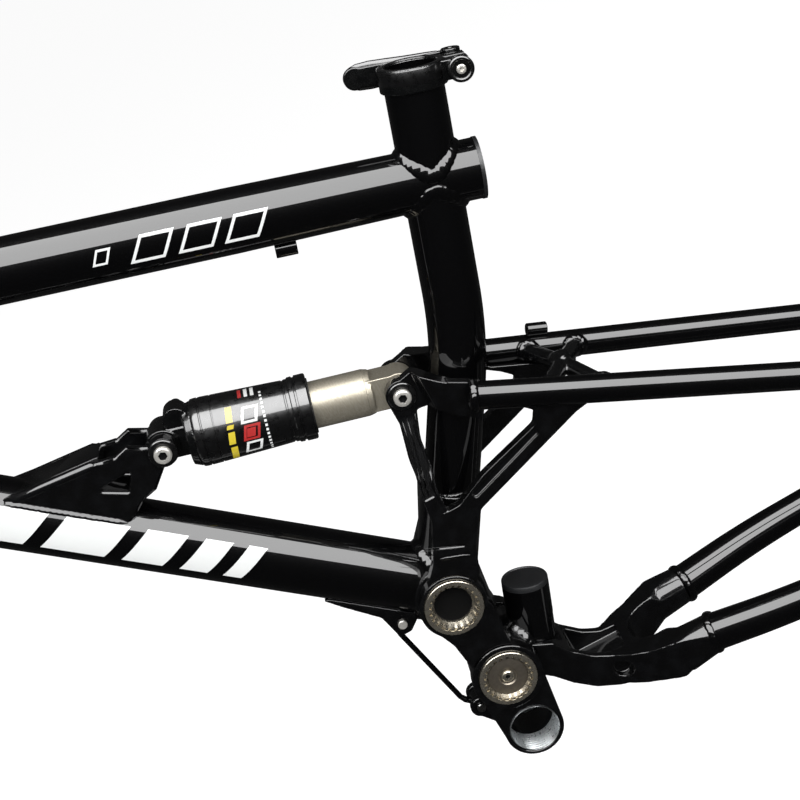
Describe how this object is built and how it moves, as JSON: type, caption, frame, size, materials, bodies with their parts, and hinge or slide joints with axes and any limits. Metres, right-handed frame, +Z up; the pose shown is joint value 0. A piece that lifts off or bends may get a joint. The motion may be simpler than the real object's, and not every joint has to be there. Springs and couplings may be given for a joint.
{
  "type": "full-suspension bicycle frame",
  "caption": "Full-suspension mountain bicycle frame with bent seat tube, swingarm, rocker plates, air shock, floating bottom bracket link and strut.",
  "frame": {"origin": "middle of the bottom bracket shell, on its axis, in the mid-plane", "axes": "+X to the rear, +Y to the drive side along the bottom bracket axis, +Z up in riding position"},
  "size_m": [0.9242, 0.1605, 0.5848],
  "materials": {
    "gloss_black_paint": "gloss",
    "satin_black_paint": "satin",
    "black_anodised": "satin",
    "nickel_rings": "satin",
    "axle_steel": "satin",
    "bearing_steel": "polished",
    "stainless_bolts": "polished",
    "shaft_anodised": "satin",
    "raw_aluminium": "satin",
    "black_plastic": "matte",
    "seal_rubber": "matte",
    "brass_valve": "satin",
    "bronze_bushing": "satin",
    "white_spacers": "satin"
  },
  "bodies": {
    "front_triangle": {"head_tube": "gloss_black_paint", "top_tube": "gloss_black_paint", "top_tube_stub": "gloss_black_paint", "top_tube_cap": "black_plastic", "down_tube": "gloss_black_paint", "seat_tube": "gloss_black_paint", "pivot_forging": "satin_black_paint", "shock_bracket": "satin_black_paint", "strut_bracket": "satin_black_paint", "front_cable_stops": "satin_black_paint", "seat_clamp": "black_anodised", "clamp_skewer": "stainless_bolts", "clamp_nut": "black_anodised", "main_bearings": "bearing_steel", "strut_top_pin": "stainless_bolts", "shock_front_bolt": "stainless_bolts", "front_eye_spacers": "white_spacers"},
    "clamp_lever": {"clamp_lever": "black_anodised"},
    "swingarm": {"main_axle": "axle_steel", "main_lock_rings": "nickel_rings", "rocker_left": "satin_black_paint", "rocker_right": "satin_black_paint", "swing_forging": "satin_black_paint", "chain_stay_yoke": "satin_black_paint", "seat_stay_left": "gloss_black_paint", "seat_stay_right": "gloss_black_paint", "seat_stay_brace": "satin_black_paint", "chain_stay_left": "gloss_black_paint", "chain_stay_right": "gloss_black_paint", "dropout_left": "satin_black_paint", "dropout_right": "satin_black_paint", "derailleur_hanger": "raw_aluminium", "hanger_bolts": "stainless_bolts", "stub_tube": "gloss_black_paint", "stub_cap": "black_plastic", "rear_cable_stops": "satin_black_paint", "link_bearings": "bearing_steel", "shock_rear_bolt": "stainless_bolts", "rear_eye_spacers": "white_spacers"},
    "bb_link": {"bb_link": "satin_black_paint", "link_axle": "axle_steel", "link_lock_rings": "nickel_rings", "link_covers": "nickel_rings", "link_cover_screws": "stainless_bolts", "strut_bottom_pin": "stainless_bolts"},
    "strut": {"strut": "black_anodised", "strut_bushing": "bronze_bushing"},
    "shock_body": {"shock_front_eye": "black_anodised", "shock_can": "black_anodised", "shock_seal_head": "black_anodised", "shock_seal": "seal_rubber", "shock_valve": "brass_valve", "valve_cap": "black_plastic", "front_eye_bushing": "raw_aluminium"},
    "shock_shaft": {"shock_shaft": "shaft_anodised", "shock_rear_eye": "shaft_anodised", "shock_piston": "raw_aluminium"}
  },
  "joints": [
    {"name": "swingarm_hinge", "type": "hinge", "parent": "front_triangle", "child": "swingarm", "pos_m": [-0.0055, 0, 0.112], "axis": [0, -1, 0], "range_deg": [0, 12.6]},
    {"name": "bb_link_hinge", "type": "hinge", "parent": "swingarm", "child": "bb_link", "pos_m": [0.002, 0, 0.0465], "axis": [0, -1, 0], "range_deg": [-14.1, 0]},
    {"name": "strut_hinge", "type": "hinge", "parent": "front_triangle", "child": "strut", "pos_m": [-0.0435, 0, 0.105], "axis": [0, -1, 0], "range_deg": [0, 9.35]},
    {"name": "shock_hinge", "type": "hinge", "parent": "front_triangle", "child": "shock_body", "pos_m": [-0.11514, 0, 0.294], "axis": [0, -1, 0], "range_deg": [-1.7, 0]},
    {"name": "shock_slide", "type": "slide", "parent": "shock_body", "child": "shock_shaft", "axis": [-0.9622, 0, 0.2723], "range_m": [0, 0.0318]},
    {"name": "lever_hinge", "type": "hinge", "parent": "front_triangle", "child": "clamp_lever", "pos_m": [0.15596, 0.0195, 0.4141], "axis": [-0.2924, 0, -0.9563], "range_deg": [0, 170]}
  ],
  "couplings": [
    {"joint": "bb_link_hinge", "follows": "swingarm_hinge", "ratio": -1.1129},
    {"joint": "strut_hinge", "follows": "swingarm_hinge", "ratio": 0.7364},
    {"joint": "shock_hinge", "follows": "swingarm_hinge", "ratio": -0.1288},
    {"joint": "shock_slide", "follows": "swingarm_hinge", "m_per_rad": 0.1439}
  ]
}
